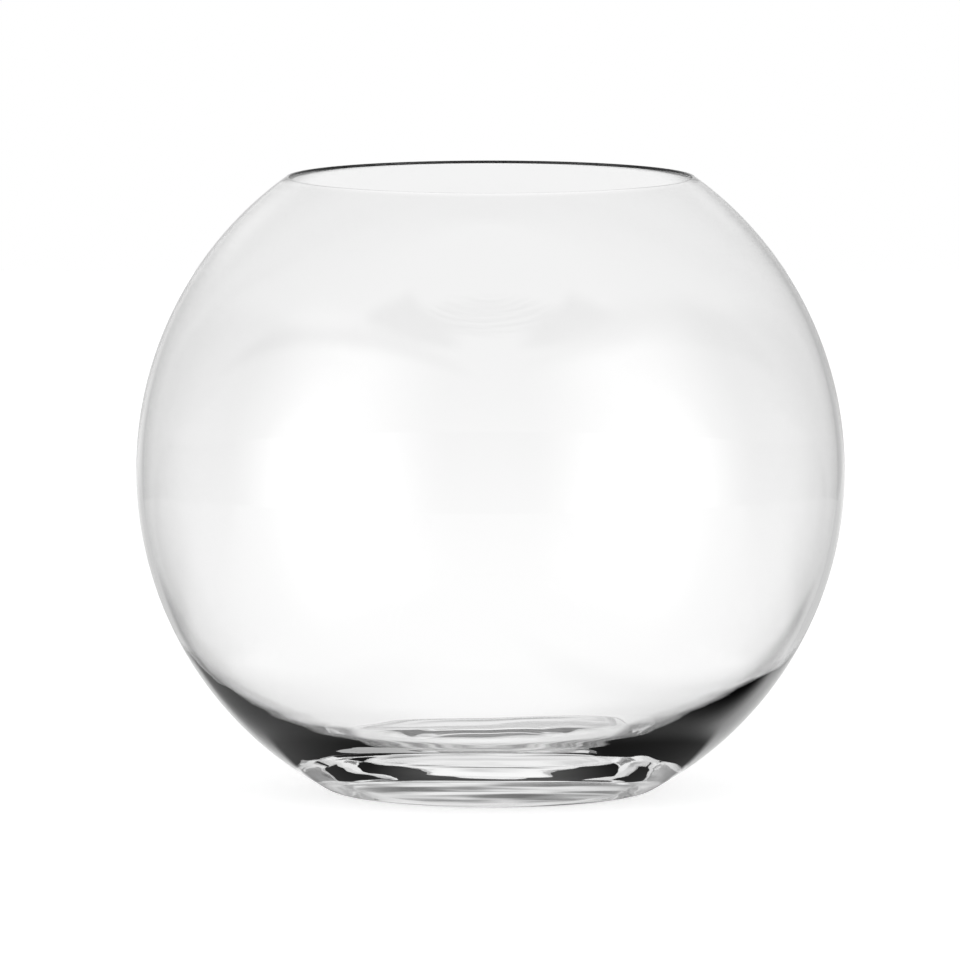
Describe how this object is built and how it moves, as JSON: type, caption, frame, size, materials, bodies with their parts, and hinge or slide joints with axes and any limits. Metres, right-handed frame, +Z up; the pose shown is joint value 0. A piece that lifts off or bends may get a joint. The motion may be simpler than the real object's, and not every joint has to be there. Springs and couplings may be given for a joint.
{
  "type": "glass ball vase",
  "caption": "Round clear glass ball vase with a wide mouth, fire-polished rim, thin blown wall and a thick, flat-footed base.",
  "frame": {"origin": "on the vase's axis, in the plane of the flat standing ring that it rests on", "axes": "+Z up along the axis of the ball, out of the mouth; the vase is round, so X and Y are alike"},
  "size_m": [0.2, 0.2, 0.1737],
  "materials": {
    "clear_glass": "clear blown soda-lime glass, fire-polished, with a rounded rim"
  },
  "bodies": {
    "root": {"glass_body": "clear_glass"}
  },
  "joints": []
}
